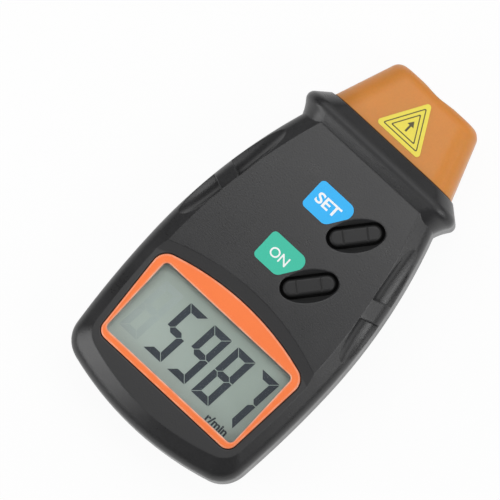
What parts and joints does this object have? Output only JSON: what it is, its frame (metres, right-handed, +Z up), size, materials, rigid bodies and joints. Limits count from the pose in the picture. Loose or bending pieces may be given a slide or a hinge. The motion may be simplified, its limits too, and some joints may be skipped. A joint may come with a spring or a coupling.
{
  "type": "digital tachometer",
  "caption": "Hand-held digital tachometer with a display window, slanted push keys, a flared collar and a tapered optical nose with a round aperture.",
  "frame": {"origin": "centre of the footprint of the instrument lying on its back, at the height of its back face", "axes": "+Z up out of the face, +Y along the length towards the optical nose, +X to the right as the face is read with the nose up"},
  "size_m": [0.0696, 0.131, 0.029],
  "materials": {
    "case": "fine texture, black",
    "nose": "translucent orange",
    "bezel": "satin orange",
    "pane": "clear",
    "display": "grey green reflective",
    "keys": "satin black",
    "blue_print": "printed film",
    "green_print": "printed film",
    "yellow_print": "printed film",
    "lens_glass": "coated",
    "tube_black": "dull black",
    "laser_grey": "light grey",
    "battery_jacket": "plain jacket",
    "snap_black": "soft black",
    "lead_jacket": "insulated wire",
    "foam": "open foam",
    "board": "glass fibre board",
    "holder": "white plastic",
    "strip": "elastomer",
    "switch_body": "dull",
    "plunger": "dull",
    "chip": "moulded epoxy",
    "can": "drawn can",
    "sleeve": "shrink sleeve",
    "diode": "clear epoxy",
    "screw_steel": "zinc plated"
  },
  "bodies": {
    "housing": {"front_cover": "case", "rear_cover": "case", "optical_nose": "nose", "display_bezel": "bezel", "display_window": "pane", "lcd_panel": "display", "mem_pad": "blue_print", "test_pad": "green_print", "pointer_label": "yellow_print", "objective_lens": "lens_glass", "lens_tube": "tube_black", "lens_ring": "tube_black", "laser_module": "laser_grey", "battery": "battery_jacket", "battery_snap": "snap_black", "battery_leads": "lead_jacket", "battery_foam": "foam", "main_board": "board", "sensor_board": "board", "lcd_frame": "holder", "contact_strips": "strip", "mem_switch": "switch_body", "test_switch": "switch_body", "processor": "chip", "resistors": "chip", "crystal": "can", "capacitors": "sleeve", "photodiode": "diode", "case_screws": "screw_steel", "board_screws": "screw_steel"},
    "mem_key": {"mem_button": "keys", "mem_plunger": "plunger"},
    "test_key": {"test_button": "keys", "test_plunger": "plunger"},
    "battery_door": {"battery_cover": "case"}
  },
  "joints": [
    {"name": "mem_press", "type": "slide", "parent": "housing", "child": "mem_key", "axis": [0, 0, -1], "range_m": [0, 0.0006], "stiffness_N_per_m": 1000, "springref_m": -0.0006},
    {"name": "test_press", "type": "slide", "parent": "housing", "child": "test_key", "axis": [0, 0, -1], "range_m": [0, 0.0006], "stiffness_N_per_m": 1000, "springref_m": -0.0006},
    {"name": "battery_cover_slide", "type": "slide", "parent": "housing", "child": "battery_door", "axis": [0, -1, 0], "range_m": [0, 0.048]}
  ]
}
